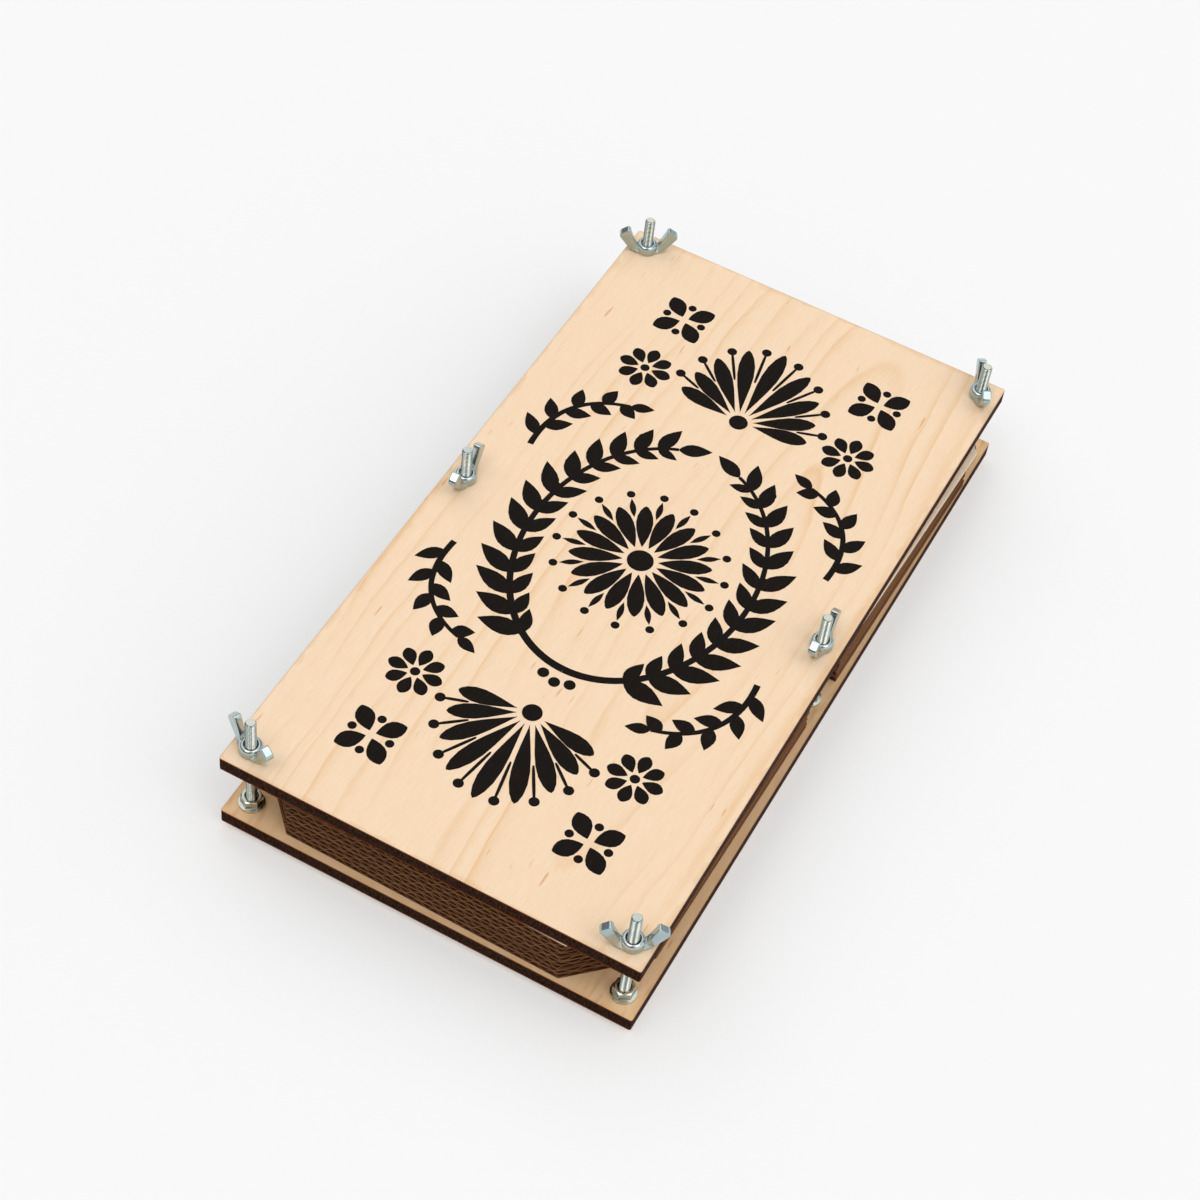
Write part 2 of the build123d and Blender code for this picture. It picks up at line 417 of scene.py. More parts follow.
@dataclass(frozen=True)
class KraftBoard:
    """Corrugated kraft cardboard, laser cut.

    Unbleached pulp gives the eye a matt dark brown with fine fibres, and the laser tones every cut edge.
    """

    name: str = "corrugated_kraft_cardboard"
    kraft: str = "#482913"
    fibre: str = "#5c391b"
    burnt: str = "#865a36"
    fibre_size: float = 0.5
    fibre_tone: Span = (0.35, 0.72, 0.0, 0.8)
    fibre_strength: float = 0.3
    fibre_depth: float = 0.08
    roughness: float = 0.85
    specular: float = 0.3

    def material(self) -> Material:
        """Builds the material: kraft mottled by a noise, toned by the mesh's own burn attribute.

        Returns:
            The material.
        """
        material, tree, shader = blank_material(self.name)
        place = add(tree, "TexCoord", out="Object")
        fine = {"Scale": 1 / (self.fibre_size * MM), "Detail": 3.0, "Roughness": 0.6}
        fibres = add(tree, "TexNoise", place, more=fine)
        mottle = add(tree, "MapRange", fibres, *self.fibre_tone)
        burn = add(tree, "Attribute", attribute_name=BURNT, out="Fac")
        relief = {"Height": fibres, "Strength": self.fibre_strength, "Distance": self.fibre_depth * MM}
        surface = {
            "Base Color": coats(tree, self.kraft, (mottle, self.fibre), (burn, self.burnt)),
            "Roughness": self.roughness,
            "Specular IOR Level": self.specular,
            "Normal": add(tree, "Bump", more=relief),
        }
        feed(shader, surface)
        return material


@dataclass(frozen=True)
class BlottingPulp:
    """Blotting paper, unsized cotton pulp.

    It gives the eye a soft, matt cream, its own off-white warmed by painted bounce light, with a faint cloudy
    formation and a fuzzy tooth.
    """

    name: str = "cotton_blotting_paper"
    # painted light: both creams are warmed partly by painted warm light bounced from the kraft and wood
    white: str = "#f3e2cb"
    cloud: str = "#e8d4b9"
    cloud_size: float = 4.0
    tooth_size: float = 0.35
    tooth_strength: float = 0.25
    tooth_depth: float = 0.05
    roughness: float = 0.9
    specular: float = 0.1

    def material(self) -> Material:
        """Builds the material: a cloudy noise for the colour and a fine one for the tooth.

        Returns:
            The material.
        """
        material, tree, shader = blank_material(self.name)
        place = add(tree, "TexCoord", out="Object")
        clouds, tooth = (
            add(tree, "TexNoise", place, more={"Scale": 1 / (size * MM), "Detail": detail})
            for size, detail in ((self.cloud_size, 4.0), (self.tooth_size, 2.0))
        )
        relief = {"Height": tooth, "Strength": self.tooth_strength, "Distance": self.tooth_depth * MM}
        surface = {
            "Base Color": coats(tree, self.white, (clouds, self.cloud)),
            "Roughness": self.roughness,
            "Specular IOR Level": self.specular,
            "Normal": add(tree, "Bump", more=relief),
        }
        feed(shader, surface)
        return material


@dataclass(frozen=True)
class ScreenInk:
    """Black screen-printing ink on bare wood.

    It gives the eye a flat, warm black that lets a little of the grain show as a change of tone.
    """

    name: str = "black_screen_ink"
    black: str = "#130e0b"
    worn: str = "#241b15"
    grain_width: float = 0.5
    grain_length: float = 6.0
    grain_tone: Span = (0.5, 0.8, 0.0, 1.0)
    roughness: float = 0.8
    specular: float = 0.12

    def material(self) -> Material:
        """Builds the material: a noise stretched along the board mixes two blacks.

        Returns:
            The material.
        """
        material, tree, shader = blank_material(self.name)
        place = add(tree, "TexCoord", out="Object")
        across, along = 1 / (self.grain_width * MM), 1 / (self.grain_length * MM)
        grain = stretched_noise(tree, place, (across, along, across), 2.0)
        tone = add(tree, "MapRange", grain, *self.grain_tone)
        surface = {
            "Base Color": coats(tree, self.black, (tone, self.worn)),
            "Roughness": self.roughness,
            "Specular IOR Level": self.specular,
        }
        feed(shader, surface)
        return material


@dataclass
class Shells:
    """Closed shells that are collected for one mesh, in millimetres."""

    points: list[np.ndarray] = field(default_factory=list)
    faces: list[list[int]] = field(default_factory=list)
    count: int = 0

    def sweep(self, rings: np.ndarray, closed: bool = False) -> None:
        """Adds rings of points carried along a path, joined by quads.

        Args:
            rings: Copies by steps of the path by points round the ring by three. Points run anticlockwise
                about the direction of the path, which makes the faces point outwards.
            closed: Whether the path runs back into its first ring. If not, a flat cap closes either end.
        """
        copies, steps, around = rings.shape[:3]
        ids = self.count + np.arange(copies * steps * around).reshape(copies, steps, around)
        later = np.roll(ids, -1, axis=1)
        corners = (ids, np.roll(ids, -1, axis=2), np.roll(later, -1, axis=2), later)
        rows = slice(None) if closed else slice(None, -1)
        quads = np.stack([corner[:, rows] for corner in corners], axis=-1)
        self.faces += quads.reshape(-1, 4).tolist()
        if not closed:
            self.faces += ids[:, 0, ::-1].tolist() + ids[:, -1].tolist()
        self.points.append(rings.reshape(-1, 3))
        self.count += ids.size


def finish_piece(name: str, mesh: bpy.types.Mesh, material: Material, body: str) -> Piece:
    """Makes an object of a mesh that is already in its place, and hangs it on its body.

    Args:
        name: Name of the piece.
        mesh: Mesh in metres, in the row frame.
        material: Finish of the piece.
        body: CAD body that the piece moves with.

    Returns:
        The piece.
    """
    mesh.materials.append(material)
    piece = bpy.data.objects.new(name, mesh)
    bpy.context.scene.collection.objects.link(piece)
    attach(piece, body)
    LOG.info("%s on %s: %d points", name, body, len(mesh.vertices))
    return piece


def mesh_of(name: str, shells: Shells, crease: float) -> bpy.types.Mesh:
    """Makes a mesh of collected shells.

    Args:
        name: Name of the mesh.
        shells: The shells, in millimetres.
        crease: Angle between two faces, in degrees, above which their edge stays sharp.

    Returns:
        The mesh, in metres.
    """
    mesh = bpy.data.meshes.new(name)
    mesh.from_pydata(np.concatenate(shells.points) * MM, [], shells.faces)
    mesh.shade_smooth()
    mesh.set_sharp_from_angle(angle=math.radians(crease))
    return mesh


def paint(mesh: bpy.types.Mesh, name: str, values: np.ndarray) -> None:
    """Gives every point of a mesh its value of a named attribute."""
    mesh.attributes.new(name, "FLOAT", "POINT").data.foreach_set("value", values.astype(np.float32))


def node_points(node: str) -> np.ndarray:
    """The different points of a CAD node's mesh, in millimetres, as rows of X, Y and Z."""
    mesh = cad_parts[node].data
    flat = np.empty(3 * len(mesh.vertices), np.float32)
    mesh.vertices.foreach_get("co", flat)
    return np.unique(np.round(flat.reshape(-1, 3).astype(float) / MM, 4), axis=0)


def node_box(node: str) -> tuple[np.ndarray, np.ndarray]:
    """The lowest and highest corner of a CAD node, in millimetres."""
    low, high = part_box(node)
    return np.array(low) / MM, np.array(high) / MM


def stand_of(node: str) -> tuple[np.ndarray, float, np.ndarray]:
    """Where a CAD node stands: the middle of its underside, its height, and its points from that middle."""
    low, high = node_box(node)
    foot = (low + high) / 2
    foot[2] = low[2]
    return foot, high[2] - low[2], node_points(node) - foot


def turn_of(points: np.ndarray, fold: int, outermost: float = 0.995) -> float:
    """How far a shape with equal corners is turned about the origin.

    The angles of the outermost points are multiplied by the number of corners, averaged as unit vectors, and
    divided again.

    Args:
        points: Rows that start with X and Y.
        fold: How many corners the shape has.
        outermost: Share of the largest reach from which a point counts.

    Returns:
        The angle of a corner from +X, in radians.
    """
    reach = np.hypot(points[:, 0], points[:, 1])
    outer = points[reach > outermost * reach.max()]
    angle = np.arctan2(outer[:, 1], outer[:, 0])
    return float(np.angle(np.exp(1j * fold * angle).mean()) / fold)


def even_angles(count: int, first: float = 0.0) -> np.ndarray:
    """Angles that share out a full turn, in radians, from the given part of a step."""
    return (np.arange(count) + first) * FULL_TURN / count


def unit(angle: np.ndarray) -> np.ndarray:
    """Unit vectors at angles from +X, in radians."""
    return np.stack([np.cos(angle), np.sin(angle)], axis=-1)


def polar_rings(rows: list[tuple[Any, Any]], angle: np.ndarray) -> np.ndarray:
    """Rings about the Z axis.

    Args:
        rows: Radius and height of each ring, as numbers or as arrays over the angles.
        angle: Angles of the points, in radians.

    Returns:
        One copy of the rings, as steps by points by three.
    """
    radius = np.stack([np.broadcast_to(r, angle.shape) for r, _ in rows])
    height = np.stack([np.broadcast_to(z, angle.shape) for _, z in rows])
    return np.stack([radius * np.cos(angle), radius * np.sin(angle), height], axis=-1)[None]


@dataclass
class Boards:
    """The two plywood boards, kept as their CAD solids and dressed."""

    hole_radius: float = 2.2
    top_shift: float = 3.7
    bottom_shift: float = 61.3
    bottom_smoke: float = 0.35
    bottom_pale: str = "#f0cca1"

    def dress(self) -> None:
        """Gives each board its own veneer, with the smoke of cutting left on the bottom one."""
        axis = stand_of(f"bolt_{Station.BACK_RIGHT.value}")[0]
        for node, shift, smoke, tint in (
            ("top_board", self.top_shift, 0.0, {}),
            ("bottom_board", self.bottom_shift, self.bottom_smoke, {"pale": self.bottom_pale}),
        ):
            low, high = node_box(node)
            veneer = MapleVeneer(
                name=f"maple_veneer_{node}",
                half=tuple((high - low) / 2),
                middle_height=(high[2] + low[2]) / 2,
                bolt=tuple(axis[:2]),
                hole_radius=self.hole_radius,
                shift=shift,
                smoke=smoke,
                **tint,
            ).material()
            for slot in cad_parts[node].material_slots:
                slot.material = veneer
            LOG.info("%s dressed", node)


@dataclass(frozen=True)
class Hexagon:
    """The sides of a bolt head or nut, whose end face is turned to a cone that cuts off the corners."""

    across_flats: float = 7.0
    land_share: float = 0.95
    turning_angle: float = 30.0

    def rim(self, angle: np.ndarray) -> tuple[float, np.ndarray, np.ndarray]:
        """Where the end face, the cone and the sides meet.

        A side's distance from the axis is half the width over the cosine of the angle from the side's middle.

        Args:
            angle: Angles from a corner, in radians.

        Returns:
            The flat face's radius, and by angle the sides' distance from the axis and how far the cone falls.
        """
        side = self.across_flats / 2 / np.cos(np.mod(angle, math.pi / 3) - math.pi / 6)
        land = self.across_flats / 2 * self.land_share
        return land, side, (side - land) * math.tan(math.radians(self.turning_angle))


@dataclass
class Bolt:
    """A fully threaded hexagon bolt that stands on its head."""

    head: Hexagon = Hexagon()
    head_height: float = 2.8
    head_margin: float = 0.01
    thread_radius: float = 2.0
    thread_depth: float = 0.43
    pitch: float = 0.7
    crest_share: float = 0.16
    root_share: float = 0.2
    end_chamfer: float = 0.45
    rows_per_pitch: int = 7
    columns: int = 36
    crease: float = 35.0

    def thread(self, angle: np.ndarray, height: np.ndarray) -> np.ndarray:
        """Radius of the thread: a flat-topped saw of the height over the pitch less the angle over a turn.

        Args:
            angle: Angles about the axis, in radians.
            height: Heights of the rows.

        Returns:
            Radius by rows and angles.
        """
        turn = np.mod(height[:, None] / self.pitch - angle[None, :] / FULL_TURN, 1.0)
        flank = 1.0 - self.crest_share - self.root_share
        fall = np.clip((np.abs(2.0 * turn - 1.0) - self.crest_share) / flank, 0.0, 1.0)
        return self.thread_radius - self.thread_depth * fall

    def build(self, station: Station, material: Material) -> Piece:
        """Builds one bolt as rings about its axis and puts it in place of its CAD solid.

        Args:
            station: Where the bolt stands.
            material: Finish of the bolt.

        Returns:
            The piece.
        """
        node = f"bolt_{station.value}"
        foot, end, points = stand_of(node)
        turn = turn_of(points[points[:, 2] < self.head_height + self.head_margin], HEXAGON)
        angle = turn + even_angles(self.columns)
        land, side, drop = self.head.rim(angle - turn)
        step = self.pitch / self.rows_per_pitch
        height = np.arange(self.head_height, end - step / 2, step)
        tip = self.thread_radius - self.end_chamfer
        cone = tip + (end - height)
        thread = self.thread(angle, height)
        rows: list[tuple[Any, Any]] = [(land, 0.0), (side, drop), (side, self.head_height)]
        rows += [*zip(np.minimum(thread, cone[:, None]), height), (tip, end)]
        shells = Shells()
        shells.sweep(polar_rings(rows, angle) + foot)
        name = f"{node}_threaded"
        mesh = mesh_of(name, shells, self.crease)
        # painted shade: every thread point is darkened by how deep it lies towards the root
        depth = (self.thread_radius - thread).ravel() / self.thread_depth
        painted_root_shade = np.zeros(len(mesh.vertices))
        painted_root_shade[-self.columns - depth.size : -self.columns] = depth
        paint(mesh, ROOT_SHADE, painted_root_shade)
        piece = finish_piece(name, mesh, material, "base")
        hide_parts(node)
        return piece


@dataclass
class FlangeNut:
    """A hexagon nut with a round foot that holds its bolt in the bottom board."""

    hexagon: Hexagon = Hexagon()
    bore_radius: float = 2.05
    rim_height: float = 0.95
    flange_radius: float = 4.7
    flange_height: float = 1.25
    mouth_chamfer: float = 0.45
    bevel: float = 0.09
    bevel_segments: int = 2
    bevel_angle: float = 24.0
    columns: int = 72
    crease: float = 30.0

    def build(self, station: Station, material: Material) -> Piece:
        """Builds one nut as rings from its bore round its foot, sides and top back into the bore.

        The foot's cone meets each side where its radius is the hexagon's, and the cone on top likewise.

        Args:
            station: Where the nut sits.
            material: Finish of the nut.

        Returns:
            The piece.
        """
        node = f"flange_nut_{station.value}"
        foot, top, points = stand_of(node)
        turn = turn_of(points[points[:, 2] > self.flange_height], HEXAGON)
        angle = turn + even_angles(self.columns)
        land, side, drop = self.hexagon.rim(angle - turn)
        run = self.flange_radius - self.hexagon.across_flats / 2
        slope = (self.flange_height - self.rim_height) / run
        rows = [
            (self.bore_radius, 0.0),
            (self.flange_radius, 0.0),
            (self.flange_radius, self.rim_height),
            (side, self.rim_height + (self.flange_radius - side) * slope),
            (side, top - drop),
            (land, top),
            (self.bore_radius + self.mouth_chamfer, top),
            (self.bore_radius, top - self.mouth_chamfer),
        ]
        shells = Shells()
        shells.sweep(polar_rings(rows, angle) + foot, closed=True)
        name = f"{node}_turned"
        piece = finish_piece(name, mesh_of(name, shells, self.crease), material, "base")
        bevel = piece.modifiers.new("worn_edges", "BEVEL")
        bevel.width = self.bevel * MM
        bevel.segments = self.bevel_segments
        bevel.limit_method = "ANGLE"
        bevel.angle_limit = math.radians(self.bevel_angle)
        bevel.harden_normals = True
        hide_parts(node)
        return piece


@dataclass
class WingNut:
    """A wing nut: a round hub with a countersunk bore, and two slanted wings with flat tips."""

    bore_radius: float = 2.05
    hub_radius: float = 4.15
    shoulder_height: float = 2.4
    hub_height: float = 4.0
    lip_radius: float = 2.75
    lip_round: float = 0.25
    lip_knee: Pair = (0.3, 0.1)
    bulge: float = 0.35
    mouth_depth: float = 0.7
    foot_chamfer: float = 0.25
    wing_angle: float = 56.0
    tip_radius: float = 9.75
    tip_height: float = 9.55
    depth: float = 5.1
    thickness: float = 2.8
    root_radius: float = 3.9
    foot: float = 0.3
    belly_radius: float = 5.5
    flare_end: float = 8.5
    flare_lean: float = 28.0
    flare_blend: float = 0.2
    start: float = 2.9
    tip_swell: float = 0.3
    tip_reach: float = 0.3
    outer_corner: float = 1.5
    inner_corner: float = 0.7
    corner_steps: tuple[float, ...] = (1.0, 0.57, 0.29, 0.09, 0.0)
    tip_thinning: tuple[float, ...] = (0.99, 0.96, 0.88)
    squareness: float = 8.0
    voxel: float = 0.13
    softening: float = 0.5
    softening_rounds: int = 2
    columns: int = 72
    crown_steps: int = 9
    bend_steps: int = 13
    straight_steps: int = 7
    section_points: int = 48
    crease: float = 180.0

    def hub(self) -> np.ndarray:
        """Rings of the hub: an outline turned about the axis, whose crown bulges out by a parabola."""
        share = np.linspace(0.0, 1.0, self.crown_steps)[:, None]
        start = np.array([self.hub_radius, self.shoulder_height])
        chord = np.array([self.lip_radius + self.lip_round, self.hub_height]) - start
        across = np.array([chord[1], -chord[0]]) / np.hypot(*chord)
        crown = start + share * chord + 4.0 * self.bulge * share * (1.0 - share) * across
        knee = self.lip_round * np.array(self.lip_knee)
        outline = [
            (self.bore_radius, 0.0),
            (self.hub_radius - self.foot_chamfer, 0.0),
            (self.hub_radius, self.foot_chamfer),
            *map(tuple, crown),
            (self.lip_radius - knee[0], self.hub_height - knee[1]),
            (self.lip_radius - self.lip_round, self.hub_height - self.lip_round),
            (self.bore_radius, self.hub_height - self.mouth_depth),
        ]
        return polar_rings(outline, even_angles(self.columns))

    @staticmethod
    def inset(back: np.ndarray, radius: float) -> np.ndarray:
        """How far a corner rounded by a circle lies inside the sharp one, at distances back from the end."""
        return radius - np.sqrt(radius**2 - np.maximum(radius - back, 0.0) ** 2)

    def wing(self) -> np.ndarray:
        """Rings of the wing along +X.

        The belly runs level, bends up along a quadratic curve that stands for its fillet, and goes straight
        to the tip. The inner edge runs straight from the hub's shoulder to the tip. At each step a rounded
        rectangle, a superellipse, spans from one to the other, a little thicker towards the tip, and the last
        steps draw in to round the tip's corners. Towards the hub the wing widens along a straight line in
        plan that leans in with height, blended in as a soft maximum.

        Returns:
            One copy of the rings, as steps by points by three.
        """
        slant = math.radians(self.wing_angle)
        out = np.array([math.cos(slant), math.sin(slant)])
        inward = np.array([-out[1], out[0]]) * self.depth / 2
        tip = np.array([self.tip_radius, self.tip_height])
        outer_tip, inner_tip = tip - inward, tip + inward
        corner = np.array([outer_tip[0] - (outer_tip[1] - self.foot) * (out[0] / out[1]), self.foot])
        tangent = self.belly_radius * math.tan(slant / 2)
        bend_start, bend_end = corner - [tangent, 0.0], corner + tangent * out
        share = np.linspace(0.0, 1.0, self.bend_steps)[:, None]
        bend = (1 - share) ** 2 * bend_start + 2 * share * (1 - share) * corner + share**2 * bend_end
        straight = bend_end + np.linspace(0.0, 1.0, self.straight_steps)[1:, None] * (outer_tip - bend_end)
        belly = np.concatenate([[[self.start, self.foot]], bend, straight])
        elbow = np.array([self.root_radius, self.shoulder_height])
        rise = np.linspace(0.0, 1.0, len(belly))[:, None]
        inner = elbow + rise * (inner_tip - elbow)

        back = self.outer_corner * np.array(self.corner_steps)[:, None]
        ends = (self.tip_reach - back) * out
        sideways = inward / self.depth * 2
        outer_end = outer_tip + ends + self.inset(back, self.outer_corner) * sideways
        inner_end = inner_tip + ends - self.inset(back, self.inner_corner) * sideways
        thin = len(self.tip_thinning)
        belly = np.concatenate([belly[:-thin], outer_end])
        inner = np.concatenate([inner[:-thin], inner_end])
        shrink = np.concatenate([np.ones(len(belly) - thin), self.tip_thinning])
        plate = self.thickness + self.tip_swell * np.concatenate([rise[:-thin, 0], np.ones(len(back))])

        middle, half = (belly + inner) / 2, (inner - belly) / 2
        around = even_angles(self.section_points, 0.5)
        power = 2.0 / self.squareness
        across, upward = (np.sign(wave) * np.abs(wave) ** power for wave in (np.cos(around), np.sin(around)))
        x = middle[:, :1] + half[:, :1] * upward
        z = middle[:, 1:] + half[:, 1:] * upward
        slope = (self.hub_radius - self.thickness / 2) / self.flare_end
        proud = slope * (self.flare_end - x) - math.tan(math.radians(self.flare_lean)) * z
        flare = self.flare_blend * np.logaddexp(0.0, proud / self.flare_blend)
        y = ((plate / 2 * shrink)[:, None] + flare) * across
        return np.stack([x, y, z], axis=-1)[None]

    def build(self, station: Station, material: Material) -> Piece:
        """Builds one wing nut, with hub and wings grown into one skin, in place of its CAD solid.

        Args:
            station: Where the nut sits.
            material: Finish of the nut.

        Returns:
            The piece.
        """
        node = f"wing_nut_{station.value}"
        foot, _, points = stand_of(node)
        spin = np.array(Matrix.Rotation(turn_of(points, 2), 3, "Z"))
        wing = self.wing()
        shells = Shells()
        shells.sweep(self.hub() @ spin.T + foot, closed=True)
        shells.sweep(np.concatenate([wing, wing * [-1.0, -1.0, 1.0]]) @ spin.T + foot)
        name = f"{node}_pressed"
        piece = finish_piece(name, mesh_of(name, shells, self.crease), material, node)
        skin = piece.modifiers.new("one_skin", "REMESH")
        skin.mode = "VOXEL"
        skin.voxel_size = self.voxel * MM
        skin.use_smooth_shade = True
        soften = piece.modifiers.new("soften", "SMOOTH")
        soften.factor = self.softening
        soften.iterations = self.softening_rounds
        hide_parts(node)
        return piece


class Outline(NamedTuple):
    """A sheet's outline: half its width, length, short edge and notch, and the place of the notch's floor."""

    half_width: float
    half_length: float
    short_edge: float
    notch: float
    floor: float


class Bed(NamedTuple):
    """Where a sheet lies: the middle of its underside, its turning matrix, its outline and its thickness."""

    middle: np.ndarray
    spin: np.ndarray
    outline: Outline
    height: float


class Layer(NamedTuple):
    """One sheet of paper in its own frame: its points, its faces, and how burnt each point is."""

    points: np.ndarray
    faces: np.ndarray
    burnt: np.ndarray


@dataclass
class SheetStack:
    """The loose stack between the boards: corrugated cardboards and blotting papers, which are shorter."""

    cardboards: int = 9
    papers: int = 3
    edge_margin: float = 0.05
    notch_share: float = 0.3
    least_gap: float = 0.3
    liner: float = 0.27
    flute_pitch: float = 6.3
    samples_per_flute: int = 12
    flute_wander: float = 0.12
    wander_length: float = 23.0
    wander_step: float = 1.7
    burn_depth: float = 0.3
    tone_spread: float = 0.4
    tone_step: float = 2.3
    paper_share: float = 0.62
    paper_wave: float = 0.02
    wave_length: float = 9.0

    def bed_of(self, node: str) -> Bed:
        """Reads where a sheet lies, and its outline, off its CAD node.

        The turn is that of the long principal axis of the node's points, whose outline is the same both ways.

        Args:
            node: Name of the CAD node.

        Returns:
            What is known of the sheet.
        """
        points = node_points(node)
        middle = (points.max(axis=0) + points.min(axis=0)) / 2
        middle[2] = points[:, 2].min()
        flat = points[:, :2] - middle[:2]
        axis = np.linalg.eigh(flat.T @ flat)[1][:, -1]
        turn = math.atan2(-axis[0] * np.sign(axis[1]), abs(axis[1]))
        spin = np.array(Matrix.Rotation(turn, 3, "Z"))
        reach = np.abs((points - middle) @ spin)
        half_width, half_length, height = reach.max(axis=0)
        short_edge = reach[reach[:, 1] > half_length - self.edge_margin, 0].max()
        notch = reach[reach[:, 1] < self.notch_share * half_length]
        outline = Outline(half_width, half_length, short_edge, notch[:, 1].max(), notch[:, 0].min())
        return Bed(middle, spin, outline, height)

    def layer(self, outline: Outline, across: np.ndarray, level: Any) -> Layer:
        """One sheet of paper as a grid over X and rows of Y, cut to the outline.

        The rows stand at the outline, a little inside it, beside the notches and at their walls. At the cut
        corners the outline comes in by as much as X goes past the short edge. Cells in a notch are left out.

        Args:
            outline: The sheet's outline.
            across: X of the columns.
            level: Height of all columns or of each.

        Returns:
            The layer.
        """
        x = np.abs(across)
        end = outline.half_length - np.maximum(x - outline.short_edge, 0.0)
        wall = np.full_like(across, outline.notch)
        inside = [end, end - self.burn_depth, wall + self.burn_depth, wall]
        along = np.stack([-row for row in inside] + inside[::-1])
        points = np.stack(np.broadcast_arrays(across, along, level), axis=-1)
        cuts = (outline.half_width, outline.floor)
        by_side, by_notch = (np.clip(1.0 - (cut - x) / self.burn_depth, 0.0, 1.0) for cut in cuts)
        burnt = np.stack([np.ones_like(across), by_side, by_side, by_notch])
        burnt = np.concatenate([burnt, burnt[::-1]])
        ids = np.arange(along.size).reshape(along.shape)
        quads = np.stack([ids[:-1, :-1], ids[:-1, 1:], ids[1:, 1:], ids[1:, :-1]], axis=-1)
        keep = np.ones(quads.shape[:2], bool)
        keep[len(inside) - 1] = np.abs((across[1:] + across[:-1]) / 2) < outline.floor
        return Layer(points.reshape(-1, 3), quads[keep], burnt.ravel())

    def columns(self, outline: Outline, pitch: float) -> np.ndarray:
        """X of a layer's columns: even steps, and one at every corner of the outline and just inside it."""
        side, floor = outline.half_width, outline.floor
        marks = np.array([outline.short_edge, floor - self.burn_depth, floor, side - self.burn_depth, side])
        marks = np.concatenate([-marks, marks])
        even = np.arange(-side, side, pitch)
        far = np.abs(even[:, None] - marks).min(axis=1) > self.least_gap * pitch
        return np.sort(np.concatenate([marks, even[far]]))

    def sheet(
        self,
        node: str,
        bed: Bed,
        layers: list[Layer],
        thickness: float,
        tone: float,
        finish: Material,
    ) -> Piece:
        """Joins layers into one piece in place of its CAD solid.

        Args:
            node: CAD node that is replaced, which is also the name of its body.
            bed: Where the sheet lies.
            layers: The layers, from the bottom.
            thickness: Thickness of every layer.
            tone: How strongly the cuts are burnt.
            finish: Material of the piece.

        Returns:
            The piece.
        """
        starts = np.cumsum([0] + [len(layer.points) for layer in layers])
        points = np.concatenate([layer.points @ bed.spin.T + bed.middle for layer in layers])
        faces = np.concatenate([layer.faces + start for layer, start in zip(layers, starts)])
        burnt = np.concatenate([layer.burnt * tone for layer in layers])
        used, faces = np.unique(faces, return_inverse=True)
        name = f"{node}_sheet"
        mesh = bpy.data.meshes.new(name)
        mesh.from_pydata(points[used] * MM, [], faces.reshape(-1, 4).tolist())
        paint(mesh, BURNT, burnt[used])
        mesh.shade_smooth()
        piece = finish_piece(name, mesh, finish, node)
        wall = piece.modifiers.new("paper", "SOLIDIFY")
        wall.thickness = thickness * MM
        wall.offset = 0.0
        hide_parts(node)
        return piece

    def build_cardboard(self, number: int, material: Material) -> Piece:
        """Builds one corrugated sheet: two flat liners and a fluted paper between them.

        The fluted paper is a cosine of X over the flute pitch, its phase wandering by a slow sine. Every
        second sheet lies the other way up.

        Args:
            number: Number of the sheet, from the bottom.
            material: Finish of the sheet.

        Returns:
            The piece.
        """
        node = f"cardboard_{number}"
        bed = self.bed_of(node)
        flat = self.columns(bed.outline, self.flute_pitch * 2)
        fine = self.columns(bed.outline, self.flute_pitch / self.samples_per_flute)
        rise = bed.height / 2 - self.liner * 1.5
        side = 1.0 if number % 2 else -1.0
        wander = self.flute_wander * np.sin(fine / self.wander_length + self.wander_step * number)
        flutes = bed.height / 2 + side * rise * np.cos(FULL_TURN * (fine / self.flute_pitch + wander))
        layers = [
            self.layer(bed.outline, flat, self.liner / 2),
            self.layer(bed.outline, fine, flutes),
            self.layer(bed.outline, flat, bed.height - self.liner / 2),
        ]
        tone = 1.0 - self.tone_spread * (0.5 + 0.5 * math.sin(self.tone_step * number))
        return self.sheet(node, bed, layers, self.liner, tone, material)

    def build_paper(self, number: int, material: Material) -> Piece:
        """Builds one blotting paper, a flat layer with a slight wave.

        Args:
            number: Number of the paper, from the bottom.
            material: Finish of the paper.

        Returns:
            The piece.
        """
        node = f"blotting_paper_{number}"
        bed = self.bed_of(node)
        across = self.columns(bed.outline, self.flute_pitch)
        level = bed.height / 2 + self.paper_wave * np.sin(across / self.wave_length + number)
        layers = [self.layer(bed.outline, across, level)]
        return self.sheet(node, bed, layers, bed.height * self.paper_share, 1.0, material)

    def build(self) -> None:
        """Builds every sheet with its finish."""
        kraft, pulp = KraftBoard().material(), BlottingPulp().material()
        for number in range(1, self.cardboards + 1):
            self.build_cardboard(number, kraft)
        for number in range(1, self.papers + 1):
            self.build_paper(number, pulp)


